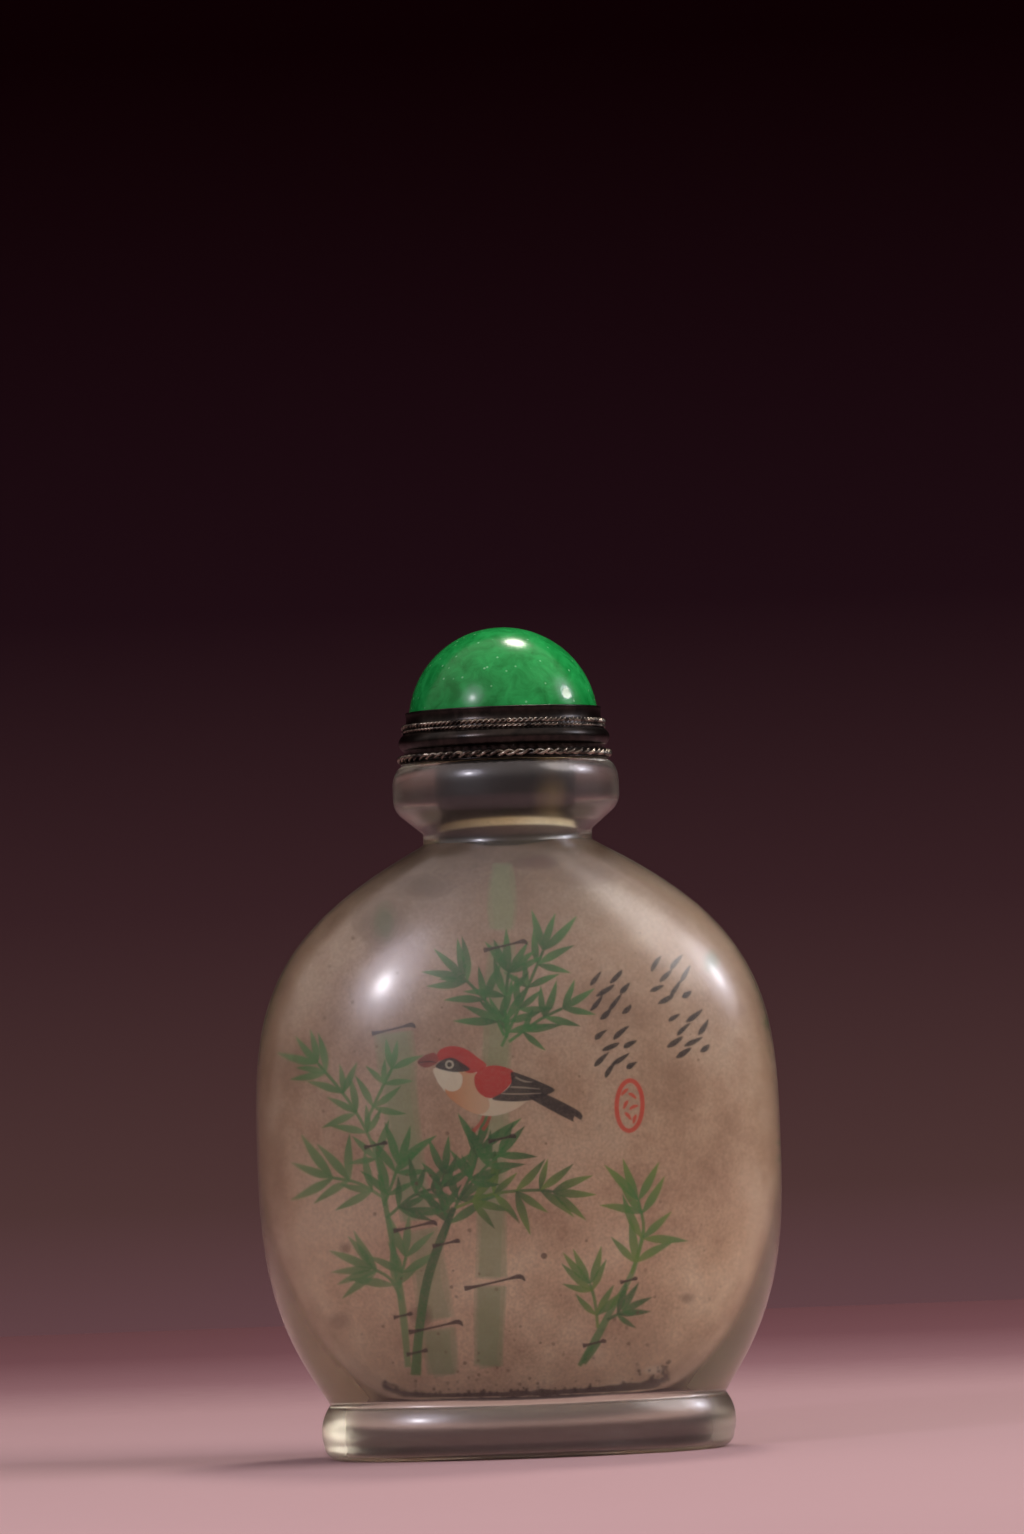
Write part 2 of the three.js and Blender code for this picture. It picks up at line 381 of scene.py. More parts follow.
def wash(points, cover=0.5):
    """A broad wet stroke of pale green: three on each other, so its edges are soft and uneven."""
    layers = []
    for share, drift in ((1.0, 0.0), (0.86, -0.1), (0.66, 0.16)):
        path = [(x + drift * math.sin(z), z - drift, width * share * (1 + 0.05 * math.sin(2.3 * z)))
                for x, z, width in points]
        layers.append(brush_stroke(path, tint(STALK_WASH, cover * 0.42), tint(STALK_WASH, cover * 0.5), 6))
    return layers


def stalk_joint(x, z, reach):
    """The dark line across a bamboo stalk at a joint, lifted and hooked at its right end."""
    return brush_stroke(
        [(x + across * reach, z + up * reach, width) for across, up, width in (
            (-1, -0.16, 0.5), (-0.5, -0.08, 0.24), (0.4, 0.1, 0.22), (0.85, 0.18, 0.46), (1, 0.02, 0.12))],
        NODE_INK, steps=3)


def ink_strokes(x, z, size, seed):
    """One cluster of loose brush strokes in staggered rows: no sign of any script."""
    pick = random.Random(seed)
    strokes = []
    for across, up, reach in (
            (-0.7, 0.8, 0.4), (0.3, 0.86, 0.46), (-0.25, 0.2, 0.5), (0.72, 0.28, 0.42),
            (-0.72, -0.4, 0.46), (0.2, -0.42, 0.5), (0.75, -0.75, 0.34), (-0.3, -0.95, 0.4)):
        turn = math.radians(pick.uniform(20, 58))
        reach *= size * pick.uniform(0.8, 1.15)
        middle = (x + across * size / 2, z + up * size / 2)
        half = (math.cos(turn) * reach / 2, math.sin(turn) * reach / 2)
        lean = pick.uniform(-0.14, 0.14)
        strokes.append(brush_stroke(
            [(middle[0] + share * half[0] + sway, middle[1] + share * half[1], width)
             for share, sway, width in (
                 (-1, 0, 0.14), (-0.4, lean, pick.uniform(0.42, 0.58)),
                 (0.5, lean, pick.uniform(0.3, 0.42)), (1, 0, 0.08))], BLACK_INK, steps=3))
    return strokes


def soft_cloud(x, z, across, up, hex_colour, strength, seed):
    """A cloudy mark with no clear edge, built up from thin layers of uneven outline."""
    pick = random.Random(seed)
    layers = []
    for reach in (1.0, 0.86, 0.72, 0.58, 0.42):
        ring = []
        for step in range(10):
            turn = step * math.pi / 5
            out = reach * pick.uniform(0.86, 1.14)
            ring.append((x + across * out * math.cos(turn), z + up * out * math.sin(turn)))
        layers.append(patch(ring, tint(hex_colour, strength / 4), steps=3))
    return layers


def specks(count, seed):
    """Dirt that has settled on the ground wall, thickest low down."""
    pick = random.Random(seed)
    lowest, rise, widest = 7, 44, 19
    marks = []
    for _ in range(count):
        z = lowest + rise * pick.random() ** 2.2
        x = pick.uniform(-1, 1) * min(widest, 13 + 0.9 * (z - lowest))
        marks.append(spot(x, z, pick.uniform(0.05, 0.2), tint("5b4030", pick.uniform(0.25, 0.7))))
    return marks


# The front, from the first washes to the last touches of ink
front_strokes = [
    *wash([(-0.6, 57.0, 2.0), (-0.7, 55.0, 2.6), (-0.8, 52.6, 2.8), (-0.9, 50.6, 2.4)], 0.42),
    *wash([(-0.9, 49.2, 2.6), (-1.4, 44.4, 2.8), (-1.7, 39.8, 2.9), (-2.1, 35.4, 2.9), (-2.4, 31.0, 3.0)]),
    *wash([(-2.6, 30.2, 3.0), (-2.8, 25.6, 2.9), (-2.9, 22.0, 2.9), (-3.1, 17.4, 3.0)], 0.6),
    *wash([(-3.2, 16.6, 3.1), (-3.5, 12.4, 3.0), (-3.6, 10.4, 2.9), (-3.7, 8.9, 2.7)], 0.75),
    *wash([(-11.6, 41.1, 3.8), (-11.4, 38.2, 3.9), (-11.2, 35.2, 3.6), (-10.6, 27.8, 3.2),
           (-10.0, 23.2, 3.2)], 0.6),
    *wash([(-9.6, 22.2, 3.4), (-9.2, 19.8, 3.3), (-8.9, 17.5, 3.4), (-8.5, 13.6, 3.6)]),
    *wash([(-8.4, 12.6, 3.6), (-8.2, 10.4, 3.5), (-8.1, 8.2, 3.0)], 0.7),
    brush_stroke([(-11.4, 9.0, 0.6), (-11.7, 14.6, 0.7), (-12.4, 20.8, 0.55), (-13.4, 27.6, 0.5)],
                 PALE_GREEN, LEAF_GREEN),
    brush_stroke([(5.0, 8.6, 0.4), (6.6, 11.0, 0.75), (8.2, 13.8, 0.6), (10.4, 17.4, 0.5),
                  (11.6, 21.4, 0.3)], LEAF_GREEN, PALE_GREEN),
]
# Soft cloudy marks, darker than the frost: brown ones high by the neck and low at the sides, and faint green
# ones
for darkening in ((-12.3, 51.7, 3.2, 2.8, "5a4030", 0.5), (-8.2, 55.0, 3.0, 1.5, "5a4030", 0.55),
              (-12.2, 51.8, 1.3, 2.2, "4c7a50", 0.42), (19.2, 46.8, 0.9, 1.3, "3f7a48", 0.6),
              (8.0, 55.6, 3.4, 1.3, "6a4a38", 0.55), (2.6, 57.0, 2.6, 0.9, "5e3a34", 0.7),
              (-17.8, 13.6, 1.3, 1.0, "6d4530", 0.42), (-17.0, 20.6, 0.7, 0.6, "6d4530", 0.6),
              (-9.9, 13.9, 1.2, 1.3, "4a3422", 0.7), (15.6, 14.6, 0.8, 0.6, "6d4530", 0.5)):
    front_strokes += soft_cloud(*darkening, seed=round(10 * darkening[1]))
for path, length, light, dark, seed in (
        (((-13.4, 27.6), (-14.2, 31.0), (-16.2, 34.8), (-19.0, 38.4)), 3.3, PALE_GREEN, LEAF_GREEN, 3),
        (((-14.6, 32.5), (-12.9, 35.8), (-11.9, 37.6)), 3.0, PALE_GREEN, LEAF_GREEN, 5),
        (((-13.2, 25.4), (-15.4, 26.8), (-17.9, 27.4)), 4.2, PALE_GREEN, LEAF_GREEN, 8),
        (((-13.1, 24.6), (-12.2, 26.8), (-11.6, 28.4)), 4.0, LEAF_GREEN, LEAF_GREEN, 10),
        (((-12.9, 23.4), (-10.4, 25.4), (-8.6, 26.0)), 3.4, LEAF_GREEN, DEEP_GREEN, 12),
        (((-11.8, 15.6), (-12.8, 17.6), (-14.4, 18.6)), 3.8, PALE_GREEN, LEAF_GREEN, 13),
        (((-12.0, 16.6), (-11.2, 19.6)), 3.8, PALE_GREEN, LEAF_GREEN, 14),
        (((-7.4, 21.4), (-6.2, 24.4), (-4.6, 27.4), (-3.9, 29.6)), 4.0, LEAF_GREEN, DEEP_GREEN, 21),
        (((-6.2, 24.2), (-2.6, 25.4), (1.4, 25.6), (3.0, 25.4)), 4.0, FRESH_GREEN, DEEP_GREEN, 23),
        (((-5.6, 25.4), (-3.4, 27.8), (-2.0, 29.0)), 3.2, DEEP_GREEN, LEAF_GREEN, 27),
        (((-7.0, 22.6), (-7.6, 25.4), (-7.2, 27.4)), 3.6, LEAF_GREEN, DEEP_GREEN, 28),
        (((-1.3, 39.4), (0.2, 42.4), (1.6, 45.4), (3.0, 48.4)), 3.6, LEAF_GREEN, DEEP_GREEN, 31),
        (((-1.0, 40.4), (-2.4, 43.4), (-4.6, 46.0)), 3.5, LEAF_GREEN, DEEP_GREEN, 33),
        (((-0.8, 40.2), (-0.8, 43.6), (-0.4, 46.4)), 3.5, LEAF_GREEN, DEEP_GREEN, 34),
        (((-0.6, 39.8), (2.4, 41.8), (4.6, 42.8)), 3.2, LEAF_GREEN, DEEP_GREEN, 36),
        (((10.3, 17.2), (11.6, 21.2), (11.2, 24.2)), 4.0, FRESH_GREEN, LEAF_GREEN, 42),
        (((6.9, 12.2), (6.7, 14.8), (6.3, 16.4)), 3.6, FRESH_GREEN, LEAF_GREEN, 44),
        (((7.8, 12.9), (9.2, 13.6)), 3.0, DEEP_GREEN, LEAF_GREEN, 47)):
    front_strokes += spray(path, length, light, dark, seed)
front_strokes += [
    brush_stroke([(-10.7, 8.2, 1.0), (-10.2, 12.4, 0.85), (-9.2, 17.4, 0.9), (-7.6, 21.6, 0.8),
                  (-6.4, 24.2, 0.5)], LEAF_GREEN, DEEP_GREEN),
    brush_stroke([(5.4, 8.8, 0.5), (6.2, 10.0, 0.8), (7.0, 10.8, 0.4)], LEAF_GREEN),
]
for x, z, reach in ((-11.6, 41.4, 2.1), (-10.2, 22.5, 2.1), (-7.3, 20.8, 1.3), (-2.8, 16.9, 2.9),
                    (-8.6, 12.8, 2.6), (-0.6, 49.0, 2.1), (-1.6, 30.6, 1.3), (-13.7, 30.4, 1.1),
                    (-11.7, 14.0, 0.9), (-10.5, 10.4, 1.0), (6.5, 10.7, 1.1), (10.0, 16.6, 0.8)):
    front_strokes.append(stalk_joint(x, z, reach))


def dust_line(grains, seed):
    """Old dust in the angle where the wall meets the floor of the hollow, thickest to the right."""
    pick = random.Random(seed)
    path = [(-13.8, 6.75), (-13.0, 6.35), (-11.6, 5.98), (-8.0, 5.8), (-3.0, 5.74), (2.0, 5.74),
            (7.0, 5.8), (11.4, 6.0), (12.9, 6.4), (13.6, 6.8)]
    line = smooth_path([(x, z + 0.3, 0.42 + 0.3 * (x > 0) + pick.uniform(0, 0.25)) for x, z in path], 6)
    ragged_line = [(x, z, width * pick.uniform(0.6, 1.2)) for x, z, width in line]
    marks = [brush_stroke(ragged_line, tint("24160e", 0.9), steps=2)]
    for _ in range(grains):
        x, z = pick.choice(line)[:2]
        reach = 1.5 if x > 9 else 0.6
        marks.append(spot(
            x + pick.uniform(-0.8, 0.8) * (1 - abs(x) / 16), z + 0.1 + reach * pick.random() ** 2,
            pick.uniform(0.06, 0.22), tint("2c1b12", pick.uniform(0.5, 0.9))))
    return marks


# A pale patch low at the right, and the dust
front_strokes += soft_cloud(12.2, 7.8, 1.2, 0.5, "fff4e8", 0.95, 61) + dust_line(190, 29)

# The bird: red cap and shoulder, dark wing and tail, warm breast
BIRD_RED = tint("cc1f1a", 0.96)
BIRD_DARK = tint("15110f", 0.96)
BIRD_PALE = tint("f4ece2", 0.96)
FEATHER_EDGE = tint("b8a99b", 0.8)
LEG_RED = tint("c4483f", 0.8)
front_strokes += [
    brush_stroke([(-3.1, 33.4, 0.34), (-3.5, 32.3, 0.3), (-4.3, 31.4, 0.42)], LEG_RED),
    brush_stroke([(-2.5, 33.3, 0.34), (-2.9, 32.2, 0.3), (-3.4, 31.5, 0.36)], LEG_RED),
    brush_stroke([(1.0, 35.0, 0.9), (3.4, 33.7, 1.2), (5.5, 32.5, 1.15), (5.7, 32.3, 0.8)], BIRD_DARK),
    patch([(1.4, 34.8), (0.2, 33.6), (-1.6, 32.9), (-3.4, 32.9), (-5.2, 33.7), (-6.7, 35.1), (-7.7, 36.7),
           (-7.0, 38.2), (-4.6, 38.6), (-2.2, 37.3), (0.4, 36.5)], tint("ead9c9", 0.94), BIRD_PALE),
    patch([(-6.8, 35.2), (-5.4, 33.8), (-3.7, 33.0), (-2.7, 33.6), (-2.9, 34.9), (-3.7, 36.8), (-5.4, 37.4),
           (-6.5, 36.5)], tint("d98a52", 0.95), tint("dba27a", 0.6)),
    patch([(-7.9, 37.5), (-7.4, 36.1), (-6.4, 35.3), (-5.4, 35.6), (-5.2, 36.8), (-6.4, 37.5)], BIRD_PALE),
    patch([(-7.6, 38.2), (-7.3, 39.2), (-6.2, 39.6), (-4.8, 39.3), (-3.6, 38.4), (-2.8, 37.6), (-3.9, 37.0),
           (-4.9, 37.1), (-5.6, 38.0), (-6.6, 38.4)], BIRD_RED),
    patch([(-4.0, 36.6), (-3.2, 37.4), (-1.9, 37.6), (-0.4, 37.1), (-0.3, 36.2), (-1.4, 35.0), (-2.7, 34.5),
           (-3.8, 35.3)], BIRD_RED),
    patch([(-0.5, 36.9), (0.6, 36.6), (2.2, 35.9), (3.6, 35.1), (2.8, 34.6), (1.4, 34.2), (-0.4, 34.1),
           (-2.4, 34.4), (-1.2, 35.1), (-0.5, 35.9)], BIRD_DARK),
    brush_stroke([(-0.1, 36.4, 0.14), (0.7, 36.0, 0.16), (1.5, 35.9, 0.05)], FEATHER_EDGE),
    brush_stroke([(-0.6, 35.5, 0.14), (0.6, 35.4, 0.16), (2.2, 35.2, 0.05)], FEATHER_EDGE),
    brush_stroke([(-1.5, 34.9, 0.12), (0.2, 34.8, 0.15), (2.3, 34.8, 0.05)], FEATHER_EDGE),
    patch([(-7.7, 37.7), (-7.0, 38.3), (-6.1, 38.5), (-5.2, 38.0), (-4.4, 37.3), (-5.6, 37.1), (-6.8, 37.3)],
          BIRD_DARK),
    spot(-6.35, 37.85, 0.42, tint("cfc8bd", 0.95)),
    spot(-6.35, 37.85, 0.24, BIRD_DARK),
    patch([(-9.4, 38.2), (-8.7, 38.8), (-7.7, 39.0), (-7.4, 38.2), (-8.2, 37.7), (-8.9, 37.7)],
          tint("7d2b2c", 0.95), tint("a8433c", 0.95)),
    brush_stroke([(-9.3, 38.15, 0.06), (-8.3, 38.2, 0.12), (-7.6, 38.1, 0.06)], BIRD_DARK),
]

# Two short columns of ink strokes, and the small oval stamp in red beneath them
INK_CLUSTER = 3.9
STAMP_X, STAMP_Z = 10.7, 33.3
STAMP_HALF_WIDTH, STAMP_HALF_HEIGHT = 1.25, 2.4
STAMP_LEAN = 0.12
STAMP_MARK = 0.45
for x, z, seed in ((15.2, 45.2, 2), (16.7, 40.0, 4), (9.3, 44.0, 6), (9.6, 38.6, 9)):
    front_strokes += ink_strokes(x, z, INK_CLUSTER, seed)
for start in (0, math.pi):
    turns = [start + math.pi * step / 8 for step in range(9)]
    front_strokes.append(brush_stroke(
        [(STAMP_X + STAMP_HALF_WIDTH * math.cos(turn) + STAMP_LEAN * math.sin(turn),
          STAMP_Z + STAMP_HALF_HEIGHT * math.sin(turn), 0.42) for turn in turns], SEAL_RED, steps=2))
for across, up, turn in ((-0.4, 1.3, 40), (0.3, 0.9, -35), (-0.35, 0.1, 60), (0.4, -0.2, 20),
                         (-0.2, -1.0, -50), (0.45, -1.3, 70)):
    x, z = STAMP_X + across, STAMP_Z + up
    side, rise = STAMP_MARK * math.cos(math.radians(turn)), STAMP_MARK * math.sin(math.radians(turn))
    front_strokes.append(brush_stroke(
        [(x - side, z - rise, 0.16), (x, z + 0.1, 0.34), (x + side, z + rise, 0.14)], SEAL_RED, steps=2))
front_strokes += [spot(2.0, 19.3, 0.3, tint("4a352c", 0.8)), *specks(150, 17)]

# The back, plainer: two stalks and a few sprays
back_strokes = [
    *wash([(0.4, 55.4, 2.6), (0.2, 46.0, 2.8), (-0.4, 34.6, 3.0)]),
    *wash([(-0.5, 33.6, 3.0), (-1.0, 21.0, 3.0), (-1.2, 8.9, 3.0)]),
    *wash([(8.6, 45.0, 3.0), (9.0, 34.0, 3.0), (9.2, 24.0, 3.0)]),
    *wash([(9.2, 23.0, 3.0), (9.0, 8.9, 3.0)]),
]
for path, length, seed in ((((-7.6, 52.0), (-10.4, 50.6), (-12.6, 48.0)), 3.4, 51),
                           (((10.4, 34.0), (14.0, 37.6), (18.4, 40.8)), 3.6, 53),
                           (((9.6, 24.0), (14.2, 27.6), (18.6, 28.6)), 3.6, 55),
                           (((-0.6, 34.0), (-5.0, 37.0), (-9.0, 38.6)), 3.6, 58),
                           (((-1.0, 20.6), (-6.0, 24.4), (-11.0, 25.6)), 3.4, 59)):
    back_strokes += spray(path, length, LEAF_GREEN, DEEP_GREEN, seed)
for x, z, reach in ((-0.4, 34.1, 2.0), (9.1, 23.5, 2.0), (8.6, 45.2, 1.9)):
    back_strokes.append(stalk_joint(x, z, reach))
back_strokes += specks(60, 19)


# The bottle's mesh. The two broad walls of its hollow are cut along the outlines of the strokes,
# so that each stroke keeps its sharp edge on the wall itself and nothing stands off the glass.
# Two points of the cut become one when they are closer than this share of a facet.
JOIN_DISTANCE = 1e-3


def within(ring_of, point):
    """Below zero inside the oval that the ring function gives at the point's height."""
    half_width, half_depth, _, squareness = ring_of(point.z)
    return (abs(point.x) / half_width) ** squareness + (abs(point.y) / half_depth) ** squareness - 1


def through_glass(x, z, side):
    """The spot on the wall of the hollow that the eye sees at x, z through the bent surface."""
    half_width, half_depth, _, squareness = body_ring(z)
    flat = max(1 - (abs(x) / half_width) ** squareness, 0.0) ** (1 / squareness)
    hit = Vector((x, side * half_depth * flat, z))
    steps = (Vector((0.01, 0, 0)), Vector((0, 0.01, 0)), Vector((0, 0, 0.01)))
    normal = Vector([within(body_ring, hit + step) - within(body_ring, hit - step)
                     for step in steps]).normalized()
    bend = 1 / GLASS_IOR
    facing = side * normal.y
    turned = bend * facing - math.sqrt(1 - bend ** 2 * (1 - facing ** 2))
    ray = Vector((0, -side * bend, 0)) + turned * normal
    near, far = 0.0, -hit.y / ray.y
    for _ in range(26):
        middle = (near + far) / 2
        if within(hollow_ring, hit + middle * ray) > 0:
            near = middle
        else:
            far = middle
    return hit + far * ray


def wall_place(point, levels, first_facet):
    """A spot on the hollow's wall, counted in facets around it and rows down it."""
    half_width, half_depth, _, squareness = hollow_ring(point.z)
    across = math.copysign((abs(point.x) / half_width) ** (squareness / 2), point.x)
    along = math.copysign((abs(point.y) / half_depth) ** (squareness / 2), point.y)
    turn = math.atan2(along, across) % (2 * math.pi)
    row = max(i for i in range(len(levels) - 1) if levels[i] >= point.z)
    return Vector((GLASS_FACETS * turn / (2 * math.pi) - first_facet,
                   row + (levels[row] - point.z) / (levels[row] - levels[row + 1])))


def blend_tints(strokes, place):
    """The colour and cover of strokes laid over each other at a place on the wall."""
    colour, cover = Vector(NO_PAINT[:3]), 0.0
    for start, end, start_tint, end_tint in strokes:
        run = end - start
        share = min(max((place - start).dot(run) / max(run.length_squared, 1e-9), 0.0), 1.0)
        hue = Vector(start_tint[:3]).lerp(Vector(end_tint[:3]), share)
        laid = mix(start_tint[3], end_tint[3], share)
        total = laid + cover * (1 - laid)
        colour = (hue * laid + colour * cover * (1 - laid)) / total
        cover = total
    return (*colour, cover)


def painted_wall(strokes, side, levels, first_row, points):
    """Triangles of one broad wall with a tint at each corner. New points join the list given."""
    first_facet = 0 if side > 0 else GLASS_FACETS // 2
    half = GLASS_FACETS // 2
    flat_points = [Vector((i, row)) for row in range(len(levels)) for i in range(half + 1)]
    known = [(first_row + row) * GLASS_FACETS + (first_facet + i) % GLASS_FACETS
             for row in range(len(levels)) for i in range(half + 1)]
    outlines, brushes = [], []
    for outline, start, end, start_tint, end_tint in strokes:
        edge = [wall_place(through_glass(x, z, side), levels, first_facet) for x, z in outline]
        area = sum(a.x * b.y - b.x * a.y for a, b in zip(edge, edge[1:] + edge[:1]))
        outlines.append(list(range(len(flat_points), len(flat_points) + len(edge))))
        flat_points += edge if area > 0 else edge[::-1]
        ends = [through_glass(*seen, side) for seen in (start, end)]
        brushes.append((*(Vector((place.x, place.z)) for place in ends), start_tint, end_tint))
    cut, _, triangles, sources, _, covers = geometry.delaunay_2d_cdt(
        flat_points, [], outlines, 0, JOIN_DISTANCE, True)
    index_of, places = [], []
    for at, source in zip(cut, sources):
        known_source = [i for i in source if i < len(known)]
        if known_source:
            index_of.append(known[known_source[0]])
        else:
            row = min(int(at.y), len(levels) - 2)
            height = mix(levels[row], levels[row + 1], at.y - row)
            index_of.append(len(points))
            points.append(oval_point(hollow_ring(height), 2 * math.pi * (first_facet + at.x) / GLASS_FACETS))
        place = points[index_of[-1]] / MM
        places.append(Vector((place.x, place.z)))
    faces, tints = [], []
    for triangle, cover in zip(triangles, covers):
        over = [brushes[i] for i in sorted(cover)]
        faces.append(tuple(index_of[i] for i in triangle))
        tints.append([blend_tints(over, places[i]) for i in triangle])
    return faces, tints


# Polished soda-lime glass: clear, with the faint green of its iron showing in thick places. The
# rough coat over it is the dull bloom that years of handling leave.
def soda_lime_glass():
    material = new_material("soda_lime_glass")
    shader = add_node(material, "BsdfPrincipled", {
        "Base Color": linear("eef0da"),
        "Roughness": 0.2,
        "IOR": GLASS_IOR,
        "Transmission Weight": 1.0,
        "Coat Weight": 0.9,
        "Coat Roughness": 0.45,
        "Coat IOR": 1.5,
    })
    add_node(material, "OutputMaterial", {"Surface": shader})
    return material


# Ground glass with the painting: the satin lets light through but blurs it. It holds old dust,
# dark along the floor of the hollow, and painted light and shade: light and warm low down,
# darker toward the top, and painted shade in the bore around the cork. It has almost no gloss,
# so its IOR is lower than that of the glass.
FLOOR_DUST_TOP = 7.3
SHADE_TINT_START = 6
BORE_START = 58
# Where the painted highlight in the bore spreads to the right, and how far
HIGHLIGHT_SMEAR_PLACE = Vector((3.2, -2.6, 63.8))
HIGHLIGHT_SMEAR_REACH = 2.2


def painted_ground_glass():
    material = new_material("painted_ground_glass")
    place = add_node(material, "TexCoord").outputs["Object"]
    clouds = add_node(material, "TexNoise", {
        "Vector": place, "Scale": 1 / (9 * MM), "Detail": 6.0, "Roughness": 0.62})
    frost = add_node(material, "ValToRGB", {"Fac": clouds},
                     stops=((0.32, "c9b7ac"), (0.5, "ebe1da"), (0.66, "ffffff")))
    # Height above the table sets the dust, a ragged dark line on the floor, and above it painted light and
    # shade
    height = add_node(material, "SeparateXYZ", {"Vector": place})
    grains = add_node(material, "TexNoise", {
        "Vector": place, "Scale": 1 / (0.9 * MM), "Detail": 5.0, "Roughness": 0.7})
    ragged = add_node(material, "Math", {0: grains, 1: 1.6 * MM, 2: height.outputs["Z"]},
                      operation="MULTIPLY_ADD")
    floor_dust = add_node(material, "MapRange", {
        "Value": ragged, "From Min": (FLOOR_DUST_TOP - 0.4) * MM, "From Max": FLOOR_DUST_TOP * MM,
        "To Min": 0.95, "To Max": 0.0}, interpolation_type="SMOOTHSTEP")
    # Painted light and shade by height: light and warm low down, darker toward the top of the hollow
    shade_rise = add_node(material, "MapRange", {
        "Value": height.outputs["Z"], "From Min": SHADE_TINT_START * MM, "From Max": BORE_START * MM})
    light_and_shade_tint = add_node(material, "ValToRGB", {"Fac": shade_rise}, stops=(
        (0, "ffeedd"), (0.22, "fbe0cc"), (0.42, "e6cab9"), (0.6, "dac0b2"), (0.8, "cbb3a8"),
        (0.98, "8c786c")))
    light_and_shade_frost = add_node(material, "Mix", {0: 1.0, MIX_A: frost, MIX_B: light_and_shade_tint},
                      data_type="RGBA", blend_type="MULTIPLY")
    dusty = add_node(material, "Mix", {
        0: floor_dust, MIX_A: light_and_shade_frost.outputs[MIX_RESULT], MIX_B: linear("2c1a10")}, data_type="RGBA")
    # Up the bore, painted light and shade: brown, a painted highlight as a pale ring just under the
    # cork, and painted shade nearly black beside the cork
    neck = add_node(material, "MapRange", {
        "Value": height.outputs["Z"], "From Min": BORE_START * MM, "From Max": LIP_TOP * MM})
    bore_light_and_shade = add_node(material, "ValToRGB", {"Fac": neck}, stops=(
        (0.22, "4a4238"), (0.37, "5a5244"), (0.41, "fff6e0"), (0.51, "f6e6c4"), (0.56, "5a4d3c"),
        (0.61, "1c130d"), (0.7, "0a0604")))
    # The painted shade is heavier on the bore's left side, and the painted highlight spreads in a
    # golden smear at the right
    across = add_node(material, "MapRange", {
        "Value": height.outputs["X"], "From Min": -BORE_RADIUS * MM, "From Max": BORE_RADIUS * MM})
    darkening = add_node(material, "ValToRGB", {"Fac": across},
                     stops=((0.05, "a89e8c"), (0.5, "eadfc8"), (0.8, "ffffff")))
    shaded_bore = add_node(material, "Mix", {0: 1.0, MIX_A: bore_light_and_shade, MIX_B: darkening},
                            data_type="RGBA", blend_type="MULTIPLY")
    off_patch = add_node(material, "VectorMath", {
        0: place, 1: HIGHLIGHT_SMEAR_PLACE * MM}, operation="DISTANCE")
    smear_highlight = add_node(material, "MapRange", {
        "Value": off_patch.outputs["Value"], "From Min": 0.0, "From Max": HIGHLIGHT_SMEAR_REACH * MM,
        "To Min": 0.6, "To Max": 0.0}, interpolation_type="SMOOTHSTEP")
    smeared_bore = add_node(material, "Mix", {
        0: smear_highlight, MIX_A: shaded_bore.outputs[MIX_RESULT], MIX_B: linear("a8905e")}, data_type="RGBA")
    in_bore = add_node(material, "Math", {0: height.outputs["Z"], 1: BORE_START * MM},
                       operation="GREATER_THAN")
    unpainted = add_node(material, "Mix", {
        0: in_bore, MIX_A: dusty.outputs[MIX_RESULT], MIX_B: smeared_bore.outputs[MIX_RESULT]},
        data_type="RGBA")
    # The grit's pits, drawn coarser than they are so that they show, take less of the paint
    painting = add_node(material, "VertexColor", layer_name="painting")
    grit = add_node(material, "TexNoise", {
        "Vector": place, "Scale": 1 / (0.28 * MM), "Detail": 3.0, "Roughness": 0.6})
    take = add_node(material, "MapRange", {
        "Value": grit, "From Min": 0.3, "From Max": 0.55, "To Min": 0.86, "To Max": 1.0})
    cover = add_node(material, "Math", {0: painting.outputs["Alpha"], 1: take},
                     operation="MULTIPLY")
    sparkle = add_node(material, "MapRange", {
        "Value": grit, "From Min": 0.35, "From Max": 0.65, "To Min": 0.8, "To Max": 1.06})
    grainy = add_node(material, "Mix", {
        0: 1.0, MIX_A: unpainted.outputs[MIX_RESULT], MIX_B: sparkle},
        data_type="RGBA", blend_type="MULTIPLY")
    colour = add_node(material, "Mix", {
        0: cover, MIX_A: grainy.outputs[MIX_RESULT], MIX_B: painting.outputs["Color"]}, data_type="RGBA")
    shader = add_node(material, "BsdfPrincipled", {
        "Base Color": colour.outputs[MIX_RESULT],
        "Roughness": 0.4,
        "IOR": 1.2,
        "Transmission Weight": 0.15,
    })
    add_node(material, "OutputMaterial", {"Surface": shader})
    return material


outside = (underside_rings() + foot_rings()
           + [body_ring(height) for height in spread(FOOT_HEIGHT, BELLY_HEIGHT, 28, 0, 0)]
           + [body_ring(height) for height in spread(BELLY_HEIGHT, NECK_BOTTOM, 40, 0, 1)[1:]]
           + lip_rings())
bore_levels = (LIP_TOP, 65.8, 64.6, 63.4, 62.2, 61.0, 59.8, 58.8)
bore_rings = [(BORE_RADIUS, BORE_RADIUS, height, 2) for height in bore_levels]
wall_levels = (spread(CAVITY_TOP, BELLY_HEIGHT, 40, 1, 0)
               + spread(BELLY_HEIGHT, CAVITY_FLOOR, 36, 0, 1)[1:-1])
points, faces = skin_over(
    outside + bore_rings + [hollow_ring(height) for height in wall_levels]
    + [(0, 0, CAVITY_FLOOR, CAVITY_SQUARENESS)], GLASS_FACETS)
first_inside = (len(outside) - 1) * GLASS_FACETS
first_wall_row = len(outside) - 1 + len(bore_rings)
wall_start = first_wall_row * GLASS_FACETS
wall_end = (first_wall_row + len(wall_levels)) * GLASS_FACETS
faces = [face for face in faces if not all(wall_start <= i < wall_end for i in face)]
tints = [[NO_PAINT] * len(face) for face in faces]
underside_middle = len(points) - 2
grounded = [min(face) >= first_inside and underside_middle not in face for face in faces]
